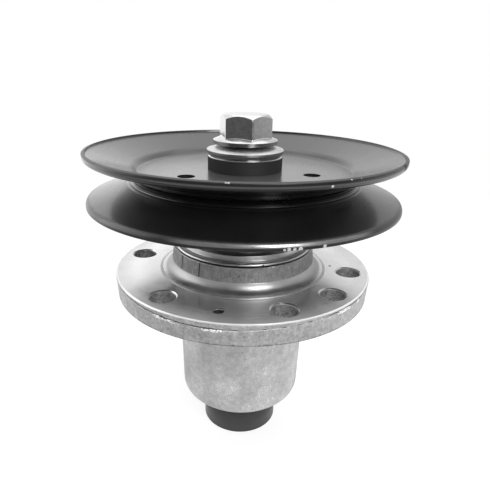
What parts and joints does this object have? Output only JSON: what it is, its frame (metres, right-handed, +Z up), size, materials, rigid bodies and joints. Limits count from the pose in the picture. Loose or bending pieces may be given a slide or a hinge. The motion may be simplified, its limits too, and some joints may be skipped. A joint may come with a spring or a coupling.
{
  "type": "mower deck spindle",
  "caption": "Upright mower deck spindle: cast round-flanged bearing housing with a dark blade collar below and a black stamped V-belt pulley bolted on top.",
  "frame": {"origin": "on the spindle's axis, in the plane of the flange's deck face", "axes": "+Z up along the spindle's axis towards the pulley, +X through one of the six deck bolt holes"},
  "size_m": [0.1588, 0.1588, 0.179],
  "materials": {
    "cast_aluminium": "as cast, with machined top faces",
    "bearing_steel": "ground",
    "cage_nylon": "moulded",
    "seal_rubber": "moulded",
    "dark_steel": "turned and blackened",
    "plain_steel": "drawn",
    "bright_steel": "turned",
    "black_hub": "satin black paint",
    "black_paint": "gloss black paint",
    "zinc_plate": "zinc plated"
  },
  "bodies": {
    "frame": {"housing": "cast_aluminium", "upper_bearing_outer_ring": "bearing_steel", "upper_bearing_top_seal": "seal_rubber", "upper_bearing_bottom_seal": "seal_rubber", "lower_bearing_outer_ring": "bearing_steel", "lower_bearing_top_seal": "seal_rubber", "lower_bearing_bottom_seal": "seal_rubber"},
    "rotor": {"spindle_shaft": "dark_steel", "upper_bearing_inner_ring": "bearing_steel", "lower_bearing_inner_ring": "bearing_steel", "bearing_spacer_tube": "plain_steel", "dust_slinger": "bright_steel", "pulley_hub": "black_hub", "pulley_upper_half": "black_paint", "pulley_lower_half": "black_paint", "drive_key": "plain_steel", "cone_spring_washer": "zinc_plate", "pulley_bolt": "zinc_plate"},
    "upper_ball_set": {"upper_bearing_balls": "bearing_steel", "upper_bearing_cage": "cage_nylon"},
    "lower_ball_set": {"lower_bearing_balls": "bearing_steel", "lower_bearing_cage": "cage_nylon"}
  },
  "joints": [
    {"name": "rotor_spin", "type": "hinge", "parent": "frame", "child": "rotor", "pos_m": [0, 0, 0], "axis": [0, 0, 1], "continuous": true},
    {"name": "upper_cage_spin", "type": "hinge", "parent": "frame", "child": "upper_ball_set", "pos_m": [0, 0, 0.0105], "axis": [0, 0, 1], "continuous": true},
    {"name": "lower_cage_spin", "type": "hinge", "parent": "frame", "child": "lower_ball_set", "pos_m": [0, 0, -0.0535], "axis": [0, 0, 1], "continuous": true}
  ],
  "couplings": [
    {"joint": "upper_cage_spin", "follows": "rotor_spin", "ratio": 0.3969},
    {"joint": "lower_cage_spin", "follows": "rotor_spin", "ratio": 0.3969}
  ]
}
